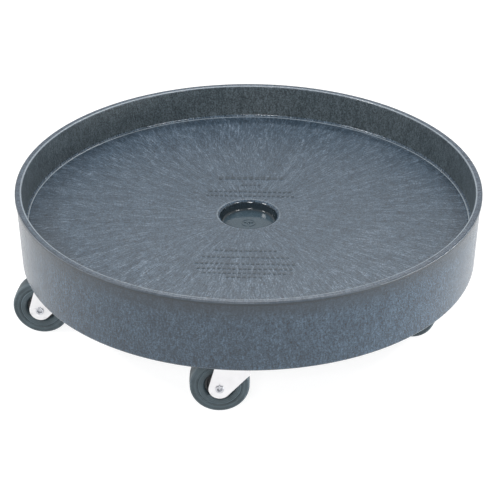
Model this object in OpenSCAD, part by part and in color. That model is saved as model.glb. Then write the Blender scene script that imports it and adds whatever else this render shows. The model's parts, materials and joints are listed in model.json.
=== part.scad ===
// Drum dolly: a round one-piece moulded dish that a drum stands in, on five swivel casters.
// Origin: on the floor, under the dish's centre. +Z is up. -Y points at the front caster.
// Millimetres.

/* [Dish] */
// Outer diameter over the rim's lip
dish_d = 616; // [500:1:760]
// Depth of the drum well, from the rim's top to the deck
well_depth = 46; // [36:1:60]
// Thickness of the deck
deck_t = 8; // [6:0.5:12]
// Thickness of the rim at its top
rim_t = 9; // [7:0.5:12]
// Thickness of the skirt at its bottom edge
skirt_t = 8.5; // [6:0.5:12]
// How far the rim's lip stands out from the wall
lip_out = 1.6; // [0.5:0.1:3]
// Height of the rim's lip
lip_h = 4.5; // [3:0.5:8]
// Draft of the outer wall, in degrees
outer_draft = 2.8; // [1:0.1:4]
// Draft of the well's wall, in degrees
well_draft = 5; // [1:0.5:7]
// Height of the caster towers, from the deck's underside down to the top plates
tower_h = 32.5; // [27:0.5:42]

/* [Deck details] */
// Diameter of the round recess in the deck's centre
recess_d = 74; // [50:1:100]
// Depth of the round recess
recess_depth = 13.5; // [9:0.5:16]
// Diameter of the raised ring round the moulding gate
gate_ring_d = 19; // [12:1:24]
// Height of the rows of plain dashes moulded on the deck
dash_h = 0.4; // [0.3:0.1:1]
// Width of the gap between two dashes
dash_gap = 2.5; // [2:0.5:6]

/* [Ribs under the deck] */
// Thickness of every rib
rib_t = 5; // [4:0.5:7]
// Depth of the ribs below the deck
rib_h = 18; // [10:1:22]
// Number of ring ribs between the recess and the towers
ring_ribs = 3; // [2:1:4]
// Number of radial ribs for each caster
ribs_per_caster = 2; // [1:1:4]

/* [Wheel] */
// Diameter of the wheel over the tyre
wheel_d = 76; // [62:0.5:90]
// Width of the tyre
tyre_w = 28; // [22:0.5:34]
// Diameter of the wheel core that the tyre is moulded on
core_d = 37; // [34:0.5:44]

/* [Caster] */
// Diameter of the axle rivet
axle_d = 8; // [6:0.1:9]
// Distance from the swivel axis back to the axle
trail = 27.5; // [20:0.5:33]
// Radius of the fork's crown
crown_r = 31; // [28:0.5:36]
// Radius of a leg's round lower end
leg_end_r = 14; // [11:0.5:17]
// How far a leg's rear corner is behind the swivel axis
leg_back = 32.5; // [28:0.5:36]
// How far a leg's front corner is in front of the swivel axis
leg_front = 11; // [6:0.5:16]
// Thickness of the fork's sheet
fork_t = 2.5; // [2:0.1:4]
// Thickness of the top plate
plate_t = 3; // [2.5:0.1:5]
// Diameter of the king pin
king_d = 10; // [8:0.5:11]
// Diameter of the large swivel balls, above the fork
big_ball_d = 4.8; // [4:0.1:6]
// Diameter of the small swivel balls, below the fork
small_ball_d = 4; // [3:0.1:4.5]
// Diameter of the mounting screws
screw_d = 8; // [6:0.5:9]
// Length of a screw in its boss
screw_grip = 20; // [14:1:22]

/* [Caster angles at rest] */
// Swivel angle of the front caster, in degrees
front_angle = 3; // [-180:1:180]
// Swivel angle of the right caster
right_angle = -18; // [-180:1:180]
// Swivel angle of the rear right caster
rear_right_angle = 24; // [-180:1:180]
// Swivel angle of the rear left caster
rear_left_angle = -14; // [-180:1:180]
// Swivel angle of the left caster
left_angle = -6; // [-180:1:180]

/* [Hidden] */
$fn = 96;
eps = 0.01;
bite = 1;                 // how far a rib runs into the wall that it joins

// Clearances
run_gap = 0.06;           // radial, in a running bore
fit_gap = 0.05;           // radial, between pieces that don't turn on each other
ball_gap = 0.08;          // round a ball in its groove
wheel_top_gap = 3.8;      // from the wheel's top up to the king pin's foot
skirt_gap = 3.8;          // from the wheel's top up to the skirt's edge
hub_gap = 0.75;           // from the hub's end to the leg
tyre_gap = 1.5;           // least distance from the tyre's side to the leg
cup_gap = 0.8;            // from the top plate's pressed cup to the fork's crown
head_gap = 0.6;           // round the king pin's head in the cup
head_sink = 0.2;          // from the king pin's head up to the plate's top
plate_wall_gap = 6;       // from the top plate's outer corners to the skirt
screw_swing_gap = 2;      // from the screw heads to the fork's swing

// Swivel head
big_race_depth = 0.8;     // how deep a large ball sits in each groove
small_race_depth = 0.6;
race_land = 1.7;          // flat of the top plate between its cup and the large balls' groove
crown_land = 0.25;        // flat of the crown between that groove and the sheet's bend
cup_wall = 1;             // flat of the cup's underside outside the king pin's head
washer_t = 2;
king_foot_h = 2.2;
king_foot_r = king_d / 2 + 3.5;
king_head_r = king_d / 2 + 2.5;
big_gap = big_ball_d - 2 * big_race_depth;
small_gap = small_ball_d - 2 * small_race_depth;
cup_drop = big_gap - cup_gap;
king_head_h = cup_drop - head_sink;
pocket_r = king_head_r + head_gap;
plate_cup_r = pocket_r + cup_wall + cup_drop;
big_race_half = sqrt(pow(big_ball_d / 2 + ball_gap, 2) - pow(big_ball_d / 2 - big_race_depth, 2));
big_race_r = plate_cup_r + race_land + big_race_half;
small_race_r = king_d / 2 + small_ball_d / 2 + 4;
washer_r = small_race_r + small_ball_d / 2 + 2;

// Heights, from the floor up
axle_z = wheel_d / 2;
crown_under = wheel_d + wheel_top_gap + king_foot_h + washer_t + small_gap;
crown_top = crown_under + fork_t;
plate_under = crown_top + big_gap;
plate_top = plate_under + plate_t;
deck_under = plate_top + tower_h;
deck_top = deck_under + deck_t;
rim_z = deck_top + well_depth;
lip_z = rim_z - lip_h;
skirt_z = wheel_d + skirt_gap;
washer_top = crown_under - small_gap;
rib_z = deck_under - rib_h;

// Fork, wheel and axle
bend_in = 1.5;            // inner radius of the sheet's bend
bend_r = fork_t + bend_in;
fork_half = max(tyre_w / 2 + tyre_gap, big_race_r + big_race_half + crown_land + bend_in);
leg_out = fork_half + fork_t;
shoulder_z = crown_top - bend_r;
leg_back_z = shoulder_z - 12.3;
leg_front_z = shoulder_z - 26.3;
leg_back_corner_r = 8;
leg_front_corner_r = 4;
hub_len = 2 * (fork_half - hub_gap);
bushing_r = axle_d / 2 + 2;
bearing_r = bushing_r + 2.5;
hub_r = bearing_r + 3.5;
core_r = core_d / 2;
core_rim_t = 3;
core_sink = 4;            // from the tyre's side in to the core's rim
web_t = 12;               // thickness of the core between its rim and its hub

// Screws and top plate
flange_r = screw_d / 2 + 4.5;
flange_h = 1.4;
hex_r = screw_d * 0.94;
hex_h = 5;
boss_r = screw_d / 2 + 5;
screw_hole_r = screw_d / 2 + fit_gap;   // in the boss
plate_hole_r = screw_d / 2 + 0.3;
hole_edge = 7.8;          // from a hole's centre to the plate's long edge
hole_end = 9;             // from a hole's centre to the plate's short edge
hole_angle = 59;          // of the hole pattern's diagonal, from the plate's short side
hole_reach = crown_r + flange_r + screw_swing_gap;
hole_x = hole_reach * cos(hole_angle);
hole_y = hole_reach * sin(hole_angle);
plate_w = 2 * (hole_x + hole_edge);
plate_l = 2 * (hole_y + hole_end);
plate_corner_r = 7;
tower_margin = 1;
tower_wall = 5;

// Dish radii at a height
function wall_r(z) = dish_d / 2 - lip_out - (lip_z - z) * tan(outer_draft);
function well_r(z) = dish_d / 2 - rim_t - (rim_z - z) * tan(well_draft);
function skirt_r(z) = wall_r(skirt_z) - skirt_t + (z - skirt_z) * tan(1);
cup_r = recess_d / 2 + deck_t;
recess_z = deck_top - recess_depth;

// The casters stand on a circle that keeps each plate's outer corners off the skirt
caster_circle = sqrt(pow(skirt_r(plate_top) - plate_wall_gap, 2) - pow(plate_l / 2, 2)) - plate_w / 2;
ring_pitch = (caster_circle - plate_w / 2 - cup_r) / (ring_ribs + 0.5);

// Name, place round the dish in degrees from +X, swivel angle at rest
CASTERS = [
    ["front", -90, front_angle],
    ["right", -18, right_angle],
    ["rear_right", 54, rear_right_angle],
    ["rear_left", 126, rear_left_angle],
    ["left", 198, left_angle]
];
CASTER_PARTS = [
    "top_plate", "mounting_screws", "king_pin", "race_washer", "swivel_balls", "fork",
    "axle_rivet", "spanner_bushing", "wheel_bearing", "wheel_core", "tyre"
];

// ---- outlines ----

function unit(v) = v / norm(v);
function half_angle(a, b, c) = acos(unit(a - b) * unit(c - b)) / 2;
function arc_middle(a, b, c, r) = b + unit(unit(a - b) + unit(c - b)) * r / sin(half_angle(a, b, c));
function arc_start(a, b, c, r) = b + unit(a - b) * r / tan(half_angle(a, b, c));

// The arc that rounds corner b between a and c with radius r, in steps of about 15 degrees
function corner(a, b, c, r) =
    let (
        m = arc_middle(a, b, c, r),
        s = arc_start(a, b, c, r) - m,
        e = arc_start(c, b, a, r) - m,
        from = atan2(s.y, s.x),
        turn = (atan2(e.y, e.x) - from + 540) % 360 - 180,
        steps = max(2, ceil(abs(turn) / 15))
    )
    [for (i = [0:steps]) m + r * [cos(from + turn * i / steps), sin(from + turn * i / steps)]];

// An outline whose every point [x, y, r] is rounded with its own radius r
function rounded(points) =
    let (n = len(points), p = [for (q = points) [q.x, q.y]])
    [for (i = [0:n - 1])
        each points[i].z == 0
            ? [p[i]]
            : corner(p[(i + n - 1) % n], p[i], p[(i + 1) % n], points[i].z)];

function rounded_box(w, l, r) = rounded([
    [-w / 2, -l / 2, r], [w / 2, -l / 2, r], [w / 2, l / 2, r], [-w / 2, l / 2, r]
]);

module turned(points) {
    rotate_extrude() polygon(rounded(points));
}

module tube(r_in, r_out, z, h) {
    translate([0, 0, z]) difference() {
        cylinder(r = r_out, h = h);
        translate([0, 0, -eps]) cylinder(r = r_in, h = h + 2 * eps);
    }
}

module ball_groove(pitch_r, z, ball_d) {
    rotate_extrude() translate([pitch_r, z]) circle(d = ball_d + 2 * ball_gap);
}

module ball_ring(pitch_r, z, ball_d) {
    count = floor(360 * pitch_r * PI / 180 / (ball_d + 0.3));
    for (i = [0:count - 1])
        rotate([0, 0, 360 * i / count]) translate([pitch_r, 0, z]) sphere(d = ball_d);
}

// Puts a child that is turned about Z onto the axle's line
module on_axle() {
    translate([-trail, 0, axle_z]) rotate([90, 0, 0]) children();
}

module at_screws() {
    for (x = [-hole_x, hole_x])
        for (y = [-hole_y, hole_y])
            translate([x, y, 0]) children();
}

// Fixed to the dish: x points outwards along the dish's radius
module on_tower(c) {
    rotate([0, 0, c[1]]) translate([caster_circle, 0, 0]) children();
}

// Swivelled: x points from the axle to the swivel axis
module on_swivel(c) {
    translate(caster_circle * [cos(c[1]), sin(c[1]), 0]) rotate([0, 0, c[2]]) children();
}

// ---- dish ----

module dish_shell() {
    turned([
        [0, recess_z - deck_t, 0],
        [cup_r - 1, recess_z - deck_t, 3],
        [cup_r, deck_under, 2],
        [skirt_r(deck_under), deck_under, 3],
        [skirt_r(skirt_z), skirt_z, 1.5],
        [wall_r(skirt_z), skirt_z, 4],
        [wall_r(lip_z), lip_z, 0.7],
        [dish_d / 2, lip_z, 0.7],
        [dish_d / 2, rim_z, 1.8],
        [well_r(rim_z), rim_z, 1.8],
        [well_r(deck_top), deck_top, 4],
        [recess_d / 2 + 0.5, deck_top, 5],
        [recess_d / 2 - 0.5, recess_z, 3.5],
        [0, recess_z, 0]
    ]);
}

module ring_rib(r) {
    tube(r - rib_t / 2, r + rib_t / 2, rib_z, rib_h + bite);
}

module radial_rib() {
    translate([cup_r - bite, -rib_t / 2, rib_z])
        cube([skirt_r(deck_under) - cup_r + 2 * bite, rib_t, rib_h + bite]);
}

// The open box under the deck that one top plate is screwed to
module tower() {
    w = plate_w + 2 * tower_margin;
    l = plate_l + 2 * tower_margin;
    r = plate_corner_r + tower_margin;
    translate([0, 0, plate_top]) difference() {
        union() {
            linear_extrude(tower_h + bite) difference() {
                polygon(rounded_box(w, l, r));
                polygon(rounded_box(w - 2 * tower_wall, l - 2 * tower_wall, r - tower_wall));
            }
            at_screws() cylinder(r = boss_r, h = tower_h + bite);
            translate([-rib_t / 2, -l / 2 + bite, 0]) cube([rib_t, l - 2 * bite, tower_h + bite]);
            translate([-w / 2 + bite, -rib_t / 2, 0]) cube([w - 2 * bite, rib_t, tower_h + bite]);
        }
        translate([0, 0, -eps]) at_screws()
            cylinder(r = screw_hole_r, h = screw_grip + 1.5);
    }
}

// Ring, stub and two vents that the moulding gate leaves in the recess
module gate_mark() {
    translate([0, 0, recess_z - bite]) {
        tube(gate_ring_d / 2 - 1.2, gate_ring_d / 2, 0, bite + 0.6);
        cylinder(r1 = 3, r2 = 1.5, h = bite + 2);
        for (x = [-gate_ring_d / 4, gate_ring_d / 4])
            translate([x, gate_ring_d / 16, 0]) cylinder(r = 1.4, h = bite + 1.2);
    }
}

// One row of plain raised dashes across the deck, w wide in all, at y
module dash_row(y, w, dash_w, dash_l) {
    count = round((w + dash_gap) / (dash_l + dash_gap));
    pitch = (w + dash_gap) / count;
    for (i = [0:count - 1])
        translate([-w / 2 + i * pitch, y - dash_w / 2, deck_top - bite])
            cube([pitch - dash_gap, dash_w, dash_h + bite]);
}

// The rows' distances are from the recess's edge, behind it and in front of it
module dashes() {
    edge = recess_d / 2;
    dash_row(edge + 65, 88, 8, 6);
    dash_row(edge + 45, 26, 4, 3);
    for (row = [[26, 110], [14, 119]]) dash_row(edge + row[0], row[1], 3.6, 4);
    for (row = [[62, 80], [79, 112], [96, 128], [109, 122], [120, 106], [130, 46]])
        dash_row(-edge - row[0], row[1], 4, 4);
}

module dish() {
    color([0.20, 0.23, 0.26]) {
        dish_shell();
        for (i = [1:ring_ribs]) ring_rib(cup_r + i * ring_pitch);
        for (i = [0:len(CASTERS) * ribs_per_caster - 1])
            rotate([0, 0, CASTERS[0][1] + i * 360 / len(CASTERS) / ribs_per_caster]) radial_rib();
        for (c = CASTERS) on_tower(c) tower();
        gate_mark();
        dashes();
    }
}

// ---- caster: pieces fixed to the dish ----

module top_plate() {
    color([0.80, 0.81, 0.83]) difference() {
        union() {
            translate([0, 0, plate_under]) linear_extrude(plate_t)
                polygon(rounded_box(plate_w, plate_l, plate_corner_r));
            turned([
                [0, plate_under - cup_drop, 0],
                [pocket_r + cup_wall, plate_under - cup_drop, 1],
                [plate_cup_r, plate_under + eps, 0],
                [0, plate_under + eps, 0]
            ]);
        }
        turned([
            [0, plate_top - cup_drop, 0],
            [pocket_r, plate_top - cup_drop, 0],
            [pocket_r + cup_drop, plate_top + eps, 0],
            [0, plate_top + eps, 0]
        ]);
        translate([0, 0, plate_under - 2 * cup_drop])
            cylinder(r = king_d / 2 + fit_gap, h = plate_t + 3 * cup_drop);
        ball_groove(big_race_r, plate_under - big_gap / 2, big_ball_d);
        at_screws() translate([0, 0, plate_under - eps])
            cylinder(r = plate_hole_r, h = plate_t + 2 * eps);
    }
}

module mounting_screws() {
    color([0.72, 0.73, 0.75]) at_screws() translate([0, 0, plate_under]) {
        turned([
            [0, -flange_h, 0],
            [flange_r - 1, -flange_h, 0],
            [flange_r, -flange_h / 2, 0],
            [flange_r, 0, 0],
            [screw_d / 2, 0, 0],
            [screw_d / 2, plate_t + screw_grip - 2, 0],
            [screw_d / 2 - 2, plate_t + screw_grip, 0],
            [0, plate_t + screw_grip, 0]
        ]);
        translate([0, 0, -flange_h - hex_h]) cylinder(r = hex_r, h = hex_h + flange_h / 2, $fn = 6);
    }
}

module king_pin() {
    foot_z = washer_top - washer_t;
    head_z = plate_top - cup_drop;
    color([0.70, 0.71, 0.73]) turned([
        [0, foot_z - king_foot_h, 0],
        [king_foot_r, foot_z - king_foot_h, 1.2],
        [king_foot_r, foot_z, 0],
        [king_d / 2, foot_z, 0],
        [king_d / 2, head_z, 0],
        [king_head_r, head_z, 0],
        [king_head_r, head_z + king_head_h, 1],
        [0, head_z + king_head_h, 0]
    ]);
}

module race_washer() {
    color([0.74, 0.75, 0.77]) difference() {
        tube(king_d / 2 + fit_gap, washer_r, washer_top - washer_t, washer_t);
        ball_groove(small_race_r, washer_top + small_gap / 2, small_ball_d);
    }
}

// ---- caster: pieces that swivel ----

module swivel_balls() {
    color([0.85, 0.86, 0.88]) {
        ball_ring(big_race_r, plate_under - big_gap / 2, big_ball_d);
        ball_ring(small_race_r, crown_under - small_gap / 2, small_ball_d);
    }
}

// Where the edge from point p touches the leg's round end, on the side given by 1 or -1
function leg_touch(p, side) =
    let (
        d = p - [-trail, axle_z],
        a = atan2(d.y, d.x) + side * acos(leg_end_r / norm(d))
    )
    [-trail, axle_z] + leg_end_r * [cos(a), sin(a)];

module leg_outline() {
    rear = [-leg_back, leg_back_z];
    front = [leg_front, leg_front_z];
    rear_touch = leg_touch(rear, 1);
    front_touch = leg_touch(front, -1);
    translate([-trail, axle_z]) circle(r = leg_end_r);
    polygon(rounded([
        [-trail, axle_z, 0],
        [front_touch.x, front_touch.y, 0],
        [front.x, front.y, leg_front_corner_r],
        [leg_front, shoulder_z, 0],
        [-sqrt(pow(crown_r, 2) - pow(leg_out, 2)), shoulder_z, 0],
        [rear.x, rear.y, leg_back_corner_r],
        [rear_touch.x, rear_touch.y, 0]
    ]));
}

// The bent sheet's section across the wheel
module fork_section() {
    polygon(rounded([
        [-leg_out, 0, 0], [-fork_half, 0, 0],
        [-fork_half, crown_under, bend_in], [fork_half, crown_under, bend_in],
        [fork_half, 0, 0], [leg_out, 0, 0],
        [leg_out, crown_top, bend_r], [-leg_out, crown_top, bend_r]
    ]));
}

module fork() {
    color([0.86, 0.86, 0.88]) difference() {
        intersection() {
            rotate([90, 0, 90]) linear_extrude(3 * crown_r, center = true) fork_section();
            union() {
                rotate([90, 0, 0]) linear_extrude(3 * crown_r, center = true) leg_outline();
                translate([0, 0, shoulder_z]) cylinder(r = crown_r, h = 2 * bend_r);
            }
        }
        translate([0, 0, crown_under - bend_r])
            cylinder(r = king_d / 2 + run_gap, h = 3 * bend_r);
        ball_groove(big_race_r, plate_under - big_gap / 2, big_ball_d);
        ball_groove(small_race_r, crown_under - small_gap / 2, small_ball_d);
        on_axle() cylinder(r = axle_d / 2 + fit_gap, h = 4 * leg_out, center = true);
    }
}

module axle_rivet() {
    rim_r = axle_d / 2 + 1.5;
    head_r = axle_d / 2 + 2;
    color([0.74, 0.74, 0.76]) on_axle() turned([
        [0, -leg_out - 2.2, 0],
        [head_r - 1.5, -leg_out - 2.2, 1],
        [head_r, -leg_out, 0],
        [axle_d / 2, -leg_out, 0],
        [axle_d / 2, leg_out, 0],
        [rim_r, leg_out, 0],
        [rim_r, leg_out + 1.8, 0.8],
        [rim_r - 2.2, leg_out + 1.8, 0.4],
        [rim_r - 3.6, leg_out - 1, 0],
        [0, leg_out - 1, 0]
    ]);
}

module spanner_bushing() {
    color([0.62, 0.63, 0.65]) on_axle()
        tube(axle_d / 2 + fit_gap, bushing_r, -fork_half, 2 * fork_half);
}

// ---- caster: pieces that turn with the wheel ----

module wheel_bearing() {
    color([0.78, 0.75, 0.66]) on_axle()
        tube(bushing_r + run_gap, bearing_r, -hub_len / 2, hub_len);
}

module wheel_core() {
    web = web_t / 2;
    rim_in = core_r - core_rim_t;
    band = tyre_w / 2 - core_sink;
    color([0.10, 0.11, 0.12]) on_axle() turned([
        [bearing_r + fit_gap, -hub_len / 2, 0],
        [hub_r, -hub_len / 2, 1],
        [hub_r, -web, 1],
        [rim_in, -web, 1],
        [rim_in, -band, 0.8],
        [core_r, -band, 0],
        [core_r, band, 0],
        [rim_in, band, 0.8],
        [rim_in, web, 1],
        [hub_r, web, 1],
        [hub_r, hub_len / 2, 1],
        [bearing_r + fit_gap, hub_len / 2, 0]
    ]);
}

module tyre() {
    half = tyre_w / 2;
    groove_r = core_r + (axle_z - core_r) * 0.45;
    color([0.22, 0.25, 0.26]) on_axle() turned([
        [core_r + fit_gap, -half + 3, 0],
        [core_r + 2.5, -half, 1],
        [groove_r - 1.2, -half, 0.4],
        [groove_r, -half + 0.9, 0.4],
        [groove_r + 1.2, -half, 0.4],
        [axle_z - 0.5, -half, 3],
        [axle_z, 0, 0],
        [axle_z - 0.5, half, 3],
        [groove_r + 1.2, half, 0.4],
        [groove_r, half - 0.9, 0.4],
        [groove_r - 1.2, half, 0.4],
        [core_r + 2.5, half, 1],
        [core_r + fit_gap, half - 3, 0]
    ]);
}

// ---- the nodes ----

dish();
for (c = CASTERS) {
    on_tower(c) top_plate();
    on_tower(c) mounting_screws();
    on_tower(c) king_pin();
    on_tower(c) race_washer();
    on_swivel(c) swivel_balls();
    on_swivel(c) fork();
    on_swivel(c) axle_rivet();
    on_swivel(c) spanner_bushing();
    on_swivel(c) wheel_bearing();
    on_swivel(c) wheel_core();
    on_swivel(c) tyre();
}
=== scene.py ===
"""Looks of the drum dolly: a moulded dish on five swivel casters. Metres, in the frame of the CAD model."""
import json
import math
from types import SimpleNamespace

import bpy
from mathutils import Matrix, Vector


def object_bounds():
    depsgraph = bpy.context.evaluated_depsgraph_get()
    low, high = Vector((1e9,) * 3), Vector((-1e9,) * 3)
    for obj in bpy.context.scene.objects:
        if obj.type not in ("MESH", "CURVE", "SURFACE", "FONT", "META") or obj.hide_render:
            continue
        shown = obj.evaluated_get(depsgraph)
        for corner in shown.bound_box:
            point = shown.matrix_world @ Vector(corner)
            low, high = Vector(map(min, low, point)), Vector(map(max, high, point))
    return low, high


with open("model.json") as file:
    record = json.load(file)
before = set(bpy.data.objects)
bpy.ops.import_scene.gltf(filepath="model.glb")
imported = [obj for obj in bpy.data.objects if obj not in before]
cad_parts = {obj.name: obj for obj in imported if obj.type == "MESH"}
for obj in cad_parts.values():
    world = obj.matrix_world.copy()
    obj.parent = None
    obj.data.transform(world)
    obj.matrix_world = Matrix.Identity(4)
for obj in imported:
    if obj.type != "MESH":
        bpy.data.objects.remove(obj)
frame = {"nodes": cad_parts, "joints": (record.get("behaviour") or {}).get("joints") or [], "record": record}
cad_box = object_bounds()

MM = 0.001
PLACES = ("front", "right", "rear_right", "rear_left", "left")

# Where the dish's features are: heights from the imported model, and radii from the rim inwards
RIM_Z = cad_box[1][2]
DECK_Z = next(mount["pos_m"][2] for mount in frame["record"]["mounts"] if mount["name"] == "deck_seat")
RIM_R = cad_box[1][0]
RIM_INNER_R = RIM_R - 9 * MM
# What is further out than this is the outside of the dish, and what is nearer is the well
OUTER_R = RIM_R - 9.5 * MM
# The foot of the well's wall, and the centre recess
FOOT_R = RIM_R - 15.8 * MM
RECESS_R = 37 * MM

# The camera looks down on the rim's centre from far away, a little to the right of the front caster
CAMERA_DISTANCE = 3.0
CAMERA_ELEVATION = math.radians(27.8)
CAMERA_AZIMUTH = math.radians(1.9)
CAMERA_ROLL = math.radians(0.13)
CAMERA_LENS = 163.5
AIM_RIGHT = 0.0020
AIM_HEIGHT = 0.081

FLOOR_SIZE = 40
FLOOR_GREY = (0.32, 0.32, 0.32, 1)
FLOOR_GLOW = 0.84
WORLD_STRENGTH = 0.76

# Softboxes: name, place, what each is aimed at, width and height, power in watts
MIDDLE = (0, 0, 0.13)
LIGHTS = (
    ("back", (0.1, 1.0, 1.4), (0, 0.05, 0.13), (1.0, 0.2), 7),
    ("front", (-0.2, -2.4, 1.5), (0, 0.25, 0.15), (0.8, 0.5), 25),
    ("top_left", (-2.06, -0.73, 1.9), MIDDLE, (0.8, 0.3), 24),
    ("top_right", (1.6, -1.2, 2.1), MIDDLE, (0.9, 0.3), 20),
    ("left", (-1.6, 0.0, 0.16), MIDDLE, (1.7, 0.24), 10),
    ("right", (1.6, -0.3, 0.16), MIDDLE, (1.7, 0.24), 28),
)

# Faces that meet at less than this are shaded as one smooth face
SMOOTH_ANGLE = math.radians(30)

# Colours of the dish, in linear light: the foam, its dull skin on the well's wall, and its edges, with
# painted shade, a painted shadow line, a painted sheen and painted highlights among them
FOAM_DARK = (0.026, 0.046, 0.070, 1)
FOAM_MIDDLE = (0.056, 0.088, 0.124, 1)
FOAM_PALE = (0.170, 0.218, 0.275, 1)
WALL_DARK = (0.036, 0.050, 0.058, 1)
WALL_MIDDLE = (0.070, 0.090, 0.102, 1)
OUTSIDE_TINT = (0.52, 0.60, 0.66, 1)
DASH_PAINTED_SHADE = (0.008, 0.020, 0.030, 1)
PAINTED_SHADE_BELOW_LIP = (0.016, 0.022, 0.028, 1)
LIP_SKIN = (0.020, 0.030, 0.042, 1)
PAINTED_SHADOW_LINE = (0.008, 0.014, 0.019, 1)
PAINTED_SHEEN_ON_RIM = (0.130, 0.150, 0.190, 1)
RECESS_FLOOR = (0.050, 0.078, 0.096, 1)
PAINTED_SHADE_IN_RECESS = (0.012, 0.018, 0.022, 1)
PAINTED_HIGHLIGHT = (0.400, 0.460, 0.510, 1)

# Colours of the tyres, in linear light
RUBBER_DARK = (0.022, 0.036, 0.044, 1)
RUBBER_LIGHT = (0.042, 0.064, 0.078, 1)
RUBBER_RING = (0.095, 0.135, 0.158, 1)
RUBBER_DUST = (0.150, 0.170, 0.175, 1)


# ---- camera, floor and light ----

def make_camera():
    turned = Matrix.Rotation(CAMERA_AZIMUTH, 3, "Z")
    back = turned @ Vector((0, -math.cos(CAMERA_ELEVATION), math.sin(CAMERA_ELEVATION)))
    place = Vector((0, 0, RIM_Z)) + back * CAMERA_DISTANCE
    aim = turned @ Vector((AIM_RIGHT, 0, AIM_HEIGHT))
    camera = bpy.data.objects.new("camera", bpy.data.cameras.new("camera"))
    bpy.context.collection.objects.link(camera)
    turn = (aim - place).to_track_quat("-Z", "Y").to_matrix() @ Matrix.Rotation(CAMERA_ROLL, 3, "Z")
    camera.matrix_world = Matrix.Translation(place) @ turn.to_4x4()
    camera.data.lens = CAMERA_LENS
    camera.data.sensor_width = 36
    camera.data.clip_end = 30
    bpy.context.scene.camera = camera


def make_floor():
    bpy.ops.mesh.primitive_plane_add(size=FLOOR_SIZE, location=(0, 0, 0))
    floor = bpy.context.object
    floor.name = "floor"
    material = new_material("floor_white")
    shader = principled(material)
    shader.inputs["Base Color"].default_value = FLOOR_GREY
    shader.inputs["Roughness"].default_value = 0.9
    shader.inputs["Specular IOR Level"].default_value = 0.1
    shader.inputs["Emission Color"].default_value = (1, 1, 1, 1)
    shader.inputs["Emission Strength"].default_value = FLOOR_GLOW
    floor.data.materials.append(material)


def make_world():
    """A pale room that is brighter behind the dolly (+Y) than in front of it."""
    world = bpy.data.worlds.new("studio")
    world.use_nodes = True
    g = Graph(world)
    background = g.nodes["Background"]
    direction = g.split(g.node("ShaderNodeTexCoord").outputs["Generated"])
    g.feed(background.inputs["Color"], g.grey(g.spread(direction[1], -0.9, 0.2, 0.42, 0.85)))
    background.inputs["Strength"].default_value = WORLD_STRENGTH
    bpy.context.scene.world = world


def make_light(name, place, aim, size, power):
    data = bpy.data.lights.new(name, "AREA")
    data.shape = "ELLIPSE"
    data.size, data.size_y = size
    data.energy = power
    light = bpy.data.objects.new(name, data)
    light.location = place
    light.rotation_euler = (Vector(aim) - Vector(place)).to_track_quat("-Z", "Y").to_euler()
    bpy.context.collection.objects.link(light)


# ---- node helpers ----

def new_material(name):
    material = bpy.data.materials.new(name)
    material.use_nodes = True
    return material


def principled(material):
    return material.node_tree.nodes["Principled BSDF"]


class Graph:
    """Short calls that add nodes to a material or the world. A value is a number, a colour or an output."""

    def __init__(self, owner):
        self.nodes = owner.node_tree.nodes
        self.links = owner.node_tree.links

    def node(self, kind, **values):
        made = self.nodes.new(kind)
        for key, value in values.items():
            setattr(made, key, value)
        return made

    def feed(self, socket, value):
        if isinstance(value, bpy.types.NodeSocket):
            self.links.new(value, socket)
        else:
            socket.default_value = value

    def math(self, operation, a, b=0.0, c=0.0):
        made = self.node("ShaderNodeMath", operation=operation)
        for socket, value in zip(made.inputs, (a, b, c)):
            self.feed(socket, value)
        return made.outputs[0]

    def add(self, a, b):
        return self.math("ADD", a, b)

    def subtract(self, a, b):
        return self.math("SUBTRACT", a, b)

    def times(self, a, b):
        return self.math("MULTIPLY", a, b)

    def scaled(self, value, factor, offset):
        return self.math("MULTIPLY_ADD", value, factor, offset)

    def highest(self, first, *others):
        for other in others:
            first = self.math("MAXIMUM", first, other)
        return first

    def coordinates(self):
        return self.node("ShaderNodeTexCoord").outputs["Object"]

    def split(self, vector):
        made = self.node("ShaderNodeSeparateXYZ")
        self.feed(made.inputs[0], vector)
        return made.outputs

    def join(self, x, y, z):
        made = self.node("ShaderNodeCombineXYZ")
        for socket, value in zip(made.inputs, (x, y, z)):
            self.feed(socket, value)
        return made.outputs[0]

    def grey(self, value):
        return self.join(value, value, value)

    def vector(self, operation, a, b):
        made = self.node("ShaderNodeVectorMath", operation=operation)
        self.feed(made.inputs[0], a)
        self.feed(made.inputs[1], b)
        return made

    def noise(self, vector, scale, detail, roughness=0.5):
        made = self.node("ShaderNodeTexNoise")
        self.feed(made.inputs["Vector"], vector)
        made.inputs["Scale"].default_value = scale
        made.inputs["Detail"].default_value = detail
        made.inputs["Roughness"].default_value = roughness
        return made.outputs["Fac"]

    def spread(self, value, low, high, to_low=0.0, to_high=1.0):
        """Turns smoothly from to_low, at low, to to_high, at high. low may be the larger of the two."""
        made = self.node("ShaderNodeMapRange", interpolation_type="SMOOTHSTEP")
        for socket, number in zip(made.inputs, (value, low, high, to_low, to_high)):
            self.feed(socket, number)
        return made.outputs[0]

    def band(self, value, middle, half):
        """1 at the middle, 0 at half to either side."""
        off = self.math("ABSOLUTE", self.subtract(value, middle))
        return self.spread(off, half * 0.4, half, 1.0, 0.0)

    def mix(self, amount, first, second, blend="MIX"):
        made = self.node("ShaderNodeMix", data_type="RGBA", blend_type=blend)
        self.feed(made.inputs["Factor"], amount)
        self.feed(made.inputs["A"], first)
        self.feed(made.inputs["B"], second)
        return made.outputs["Result"]

    def tint(self, base, colour):
        return self.mix(1.0, base, colour, "MULTIPLY")

    def bump(self, height, strength, distance):
        made = self.node("ShaderNodeBump")
        self.feed(made.inputs["Height"], height)
        made.inputs["Strength"].default_value = strength
        made.inputs["Distance"].default_value = distance
        return made.outputs["Normal"]


# ---- the dish's material ----

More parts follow.
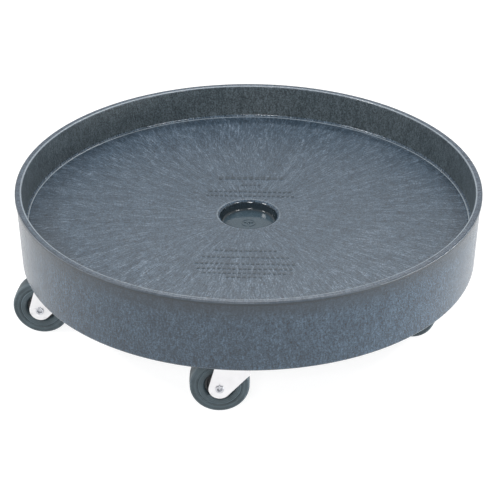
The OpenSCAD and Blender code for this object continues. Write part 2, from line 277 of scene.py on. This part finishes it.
def dish_zones(g, radius, z):
    """Masks over the dish, from 0 to 1. Most of them fade out over a millimetre or two."""
    below_rim = g.subtract(RIM_Z, z)
    over_deck = g.subtract(z, DECK_Z)
    zones = SimpleNamespace()
    zones.outside = g.spread(radius, OUTER_R, OUTER_R + 2 * MM)
    # Streaks show fully on the deck, less on the outside and hardly at all on the well's wall
    deck = g.subtract(g.spread(over_deck, 3.5 * MM, 1.5 * MM), zones.outside)
    zones.swirled = g.highest(deck, g.times(zones.outside, 0.8))
    zones.raised = g.times(g.spread(over_deck, 0.1 * MM, 0.3 * MM), g.spread(radius, 200 * MM, 190 * MM))

    # The rim: its flat top, its inner edge, the lip round it, and the wall that starts under the lip
    zones.top = g.spread(below_rim, 2.5 * MM, 0.5 * MM)
    zones.brink = g.times(g.band(radius, RIM_INNER_R + 1.2 * MM, 1.4 * MM), zones.top)
    zones.inner_edge = g.times(zones.top, g.spread(radius, RIM_INNER_R + 4 * MM, RIM_INNER_R + 2 * MM))
    zones.lip = g.times(g.spread(radius, RIM_R - 2.6 * MM, RIM_R - 1.2 * MM),
                        g.spread(below_rim, 6 * MM, 5 * MM))
    # A painted shadow line in a band about 1 to 6 mm under the rim, along the lip
    zones.groove = g.times(zones.outside, g.band(below_rim, 3.6 * MM, 2.4 * MM))
    zones.skin = g.times(zones.outside, g.spread(below_rim, 4 * MM, 5 * MM))
    # Painted shade on the outer wall under the lip, fading out about 35 mm down
    zones.under_lip = g.times(zones.skin, g.spread(below_rim, 6 * MM, 35 * MM, 0.60, 0.0))

    # The foot of the well's wall, and the fillet that it runs into the deck with
    zones.foot = g.times(g.band(radius, FOOT_R, 1.1 * MM), g.spread(over_deck, 5 * MM, 2.5 * MM))
    fillet = g.times(g.spread(radius, FOOT_R - 3 * MM, FOOT_R - 1 * MM),
                     g.spread(over_deck, 5 * MM, 3 * MM))
    zones.fillet = g.times(fillet, g.subtract(1.0, zones.outside))

    # The centre recess: all of it, its floor, its wall, and the ring round its mouth
    zones.recess = g.times(g.spread(radius, RECESS_R + 6 * MM, RECESS_R + 4.5 * MM),
                           g.spread(over_deck, -0.1 * MM, -0.6 * MM))
    zones.recess_floor = g.times(g.spread(radius, RECESS_R + 1 * MM, RECESS_R - 1 * MM),
                                 g.spread(over_deck, -5 * MM, -8 * MM))
    zones.recess_wall = g.times(g.band(radius, RECESS_R + 0.5 * MM, 5 * MM),
                                g.spread(over_deck, -0.8 * MM, -3 * MM))
    zones.mouth = g.times(g.band(radius, RECESS_R + 4.8 * MM, 1.2 * MM),
                          g.spread(over_deck, -2 * MM, -1 * MM))
    return zones


def swirl_pattern(g, place, radius, x, y, z):
    """Streaks that run out from the centre gate and down the walls. High values are the pale ones."""
    from_axis = g.math("MAXIMUM", radius, 4 * MM)
    out_x = g.math("DIVIDE", x, from_axis)
    out_y = g.math("DIVIDE", y, from_axis)
    # The direction from the axis, turned a little this way and that so that the streaks wander
    bend = g.times(g.subtract(g.noise(place, 9, 2), 0.5), 0.10)
    along_x = g.add(out_x, g.times(bend, out_y))
    along_y = g.subtract(out_y, g.times(bend, out_x))
    flow = g.add(radius, g.times(z, 1.6))

    def streaks(turns, length, detail):
        return g.noise(g.join(g.times(along_x, turns), g.times(along_y, turns),
                              g.math("DIVIDE", flow, length)), 1, detail, 0.55)

    # The same width of streak all over needs more of them further out
    far = g.spread(radius, 70 * MM, 150 * MM)
    fine = g.mix(far, g.grey(streaks(52, 11 * MM, 3)), g.grey(streaks(135, 12 * MM, 3)))
    coarse = streaks(24, 45 * MM, 2)
    return g.add(g.times(g.split(fine)[0], 0.72), g.times(coarse, 0.28))


def dish_colour(g, zones, pattern, cloud, grain):
    dark = g.mix(zones.swirled, WALL_DARK, FOAM_DARK)
    middle = g.mix(zones.swirled, WALL_MIDDLE, FOAM_MIDDLE)
    base = g.mix(g.spread(pattern, 0.36, 0.58), dark, middle)
    shown = g.times(g.spread(pattern, 0.50, 0.70), g.spread(cloud, 0.30, 0.62, 0.40, 0.72))
    shown = g.times(shown, g.scaled(zones.swirled, 0.85, 0.15))
    shown = g.times(shown, g.scaled(zones.outside, -0.70, 1.0))
    base = g.mix(shown, base, FOAM_PALE)
    base = g.tint(base, g.grey(g.spread(grain, 0.30, 0.70, 0.48, 1.52)))
    base = g.mix(zones.skin, base, g.tint(base, OUTSIDE_TINT))
    # A painted sheen: the rim's flat top is made lighter, more so on the pale streaks
    rim_sheen_mask = g.times(zones.top, g.spread(pattern, 0.30, 0.60, 0.10, 0.35))
    # Painted highlights along the recess's mouth, the foot of the well's wall and the rim's inner edge
    painted_highlights = g.highest(g.times(zones.mouth, g.spread(cloud, 0.35, 0.60, 0.10, 0.35)),
                     g.times(zones.foot, 0.55), g.times(zones.brink, 0.55))
    # Each coat covers the ones before it: where it lies, how thickly, and its colour
    coats = (
        # Painted shade: the raised dashes are darkened all over, standing in for the shade on their sides
        (zones.raised, 0.65, DASH_PAINTED_SHADE),
        # Painted shade under the lip
        (zones.under_lip, 1.0, PAINTED_SHADE_BELOW_LIP),
        # The painted shadow line under the lip, laid here and again after the lip's coat
        (zones.groove, 0.85, PAINTED_SHADOW_LINE),
        (rim_sheen_mask, 1.0, PAINTED_SHEEN_ON_RIM),
        (zones.lip, 0.55, LIP_SKIN),
        (zones.groove, 0.6, PAINTED_SHADOW_LINE),
        (zones.recess_floor, 0.75, RECESS_FLOOR),
        # Painted shade: the recess's wall is mixed toward near black
        (zones.recess_wall, 0.8, PAINTED_SHADE_IN_RECESS),
        (painted_highlights, 1.0, PAINTED_HIGHLIGHT),
    )
    for mask, amount, colour in coats:
        base = g.mix(g.times(mask, amount), base, colour)
    return base


def dish_roughness(g, zones, pattern):
    """Polished steel moulded the recess, the fillet and the rim's inner edge, so they are the glossiest."""
    polish = g.highest(zones.recess, g.times(zones.fillet, 0.9), g.times(zones.inner_edge, 0.7))
    rough = g.scaled(polish, -0.28, 0.42)
    rough = g.add(rough, g.times(g.highest(zones.lip, zones.groove), 0.12))
    rough = g.subtract(rough, g.times(zones.outside, 0.14))
    return g.subtract(rough, g.times(pattern, 0.06))


def foam_material():
    """Structural foam: dark blue-grey plastic with fine pale streaks that run out from the centre gate."""
    material = new_material("dish_foam")
    g = Graph(material)
    shader = principled(material)
    place = g.coordinates()
    x, y, z = g.split(place)
    radius = g.math("SQRT", g.add(g.times(x, x), g.times(y, y)))
    zones = dish_zones(g, radius, z)
    pattern = swirl_pattern(g, place, radius, x, y, z)
    cloud = g.noise(place, 11, 3)
    grain = g.noise(place, 520, 2)
    g.feed(shader.inputs["Base Color"], dish_colour(g, zones, pattern, cloud, grain))
    g.feed(shader.inputs["Roughness"], dish_roughness(g, zones, pattern))
    # The grain is deeper on the outside, and the recess is nearly smooth
    height = g.add(pattern, g.times(grain, g.scaled(zones.outside, 0.50, 0.35)))
    height = g.times(height, g.scaled(zones.recess, -0.93, 1.0))
    g.feed(shader.inputs["Normal"], g.bump(height, 0.30, 0.9 * MM))
    shader.inputs["Specular IOR Level"].default_value = 0.6
    return material


# ---- the casters' materials ----

def metal_material(name, colour, roughness, brush, brush_depth):
    """Bright plated steel with faint cloudiness and fine rolling marks."""
    material = new_material(name)
    g = Graph(material)
    shader = principled(material)
    place = g.coordinates()
    cloud = g.noise(place, 60, 3)
    speck = g.noise(place, 700, 2)
    rolled = g.noise(g.vector("MULTIPLY", place, (1, 1, 12)).outputs[0], brush, 2)
    g.feed(shader.inputs["Base Color"], g.tint((*colour, 1), g.grey(g.scaled(cloud, 0.22, 0.86))))
    g.feed(shader.inputs["Roughness"], g.scaled(speck, 0.16, roughness - 0.08))
    g.feed(shader.inputs["Normal"], g.bump(rolled, 0.3, brush_depth))
    shader.inputs["Metallic"].default_value = 1.0
    return material


def plastic_material(name, colour, roughness, grain_scale, grain_depth):
    """Plain moulded plastic with a fine grain and slight changes of shade."""
    material = new_material(name)
    g = Graph(material)
    shader = principled(material)
    place = g.coordinates()
    cloud = g.noise(place, 40, 3)
    grain = g.noise(place, grain_scale, 2)
    lighter = tuple(1.5 * part for part in colour)
    g.feed(shader.inputs["Base Color"], g.mix(g.spread(cloud, 0.3, 0.7), (*colour, 1), (*lighter, 1)))
    g.feed(shader.inputs["Roughness"], g.scaled(grain, 0.2, roughness - 0.1))
    g.feed(shader.inputs["Normal"], g.bump(grain, 0.4, grain_depth))
    return material


def rubber_material(place_name, centre, axle):
    """Blue-grey rubber with moulded rings round the wheel's axle, and a little dust."""
    material = new_material(place_name + "_rubber")
    g = Graph(material)
    shader = principled(material)
    place = g.coordinates()
    offset = g.vector("SUBTRACT", place, tuple(centre)).outputs[0]
    along = g.vector("DOT_PRODUCT", offset, tuple(axle)).outputs["Value"]
    length = g.vector("LENGTH", offset, (0, 0, 0)).outputs["Value"]
    radius = g.math("SQRT", g.highest(g.subtract(g.times(length, length), g.times(along, along)), 0.0))
    rings = g.noise(g.join(g.times(radius, 420), g.times(along, 20), 0.0), 1, 2)
    cloud = g.noise(place, 45, 3)
    dust = g.noise(place, 260, 3)
    base = g.mix(g.spread(cloud, 0.3, 0.7), RUBBER_DARK, RUBBER_LIGHT)
    base = g.mix(g.times(g.spread(rings, 0.48, 0.68), 0.7), base, RUBBER_RING)
    base = g.mix(g.times(g.spread(dust, 0.55, 0.8), 0.25), base, RUBBER_DUST)
    g.feed(shader.inputs["Base Color"], base)
    g.feed(shader.inputs["Roughness"], g.scaled(dust, 0.2, 0.5))
    g.feed(shader.inputs["Normal"], g.bump(g.add(rings, g.times(dust, 0.4)), 0.5, 0.5 * MM))
    return material


# ---- dressing the CAD nodes ----

def dress(node, material):
    part = frame["nodes"][node]
    part.data.materials.clear()
    part.data.materials.append(material)


def smooth(node):
    """Shades the node's round faces smoothly and keeps its edges crisp. Its points stay where they are."""
    part = frame["nodes"][node]
    weld = part.modifiers.new("weld", "WELD")
    weld.merge_threshold = 1e-6
    bpy.ops.object.select_all(action="DESELECT")
    part.select_set(True)
    bpy.context.view_layer.objects.active = part
    bpy.ops.object.shade_auto_smooth(use_auto_smooth=True, angle=SMOOTH_ANGLE)
    flat = part.modifiers.new("flat_faces", "WEIGHTED_NORMAL")
    flat.keep_sharp = True


def wheel_axis(place):
    """The centre of a wheel, and the direction of its axle, from its joint."""
    spin = next(joint for joint in frame["joints"] if joint["name"] == place + "_wheel_spin")
    return Vector(spin["pos_m"]), Vector(spin["axis"]).normalized()


def dress_all():
    dress("dish", foam_material())
    zinc = metal_material("zinc", (0.78, 0.775, 0.79), 0.38, 240, 0.2 * MM)
    rivet = metal_material("rivet", (0.54, 0.55, 0.58), 0.30, 420, 0.4 * MM)
    steel = metal_material("steel", (0.66, 0.67, 0.69), 0.30, 300, 0.1 * MM)
    nylon = plastic_material("nylon", (0.62, 0.59, 0.50), 0.45, 600, 0.2 * MM)
    core = plastic_material("core", (0.010, 0.012, 0.015), 0.42, 500, 0.3 * MM)
    finishes = {
        "top_plate": zinc, "mounting_screws": zinc, "race_washer": zinc, "fork": zinc, "axle_rivet": rivet,
        "king_pin": steel, "swivel_balls": steel, "spanner_bushing": steel,
        "wheel_bearing": nylon, "wheel_core": core,
    }
    for place in PLACES:
        for part, material in finishes.items():
            dress(f"{place}_{part}", material)
        dress(place + "_tyre", rubber_material(place, *wheel_axis(place)))
    for node in frame["nodes"]:
        smooth(node)


make_camera()
make_world()
make_floor()
for light in LIGHTS:
    make_light(*light)
dress_all()

bpy.context.scene.view_settings.view_transform = "Standard"
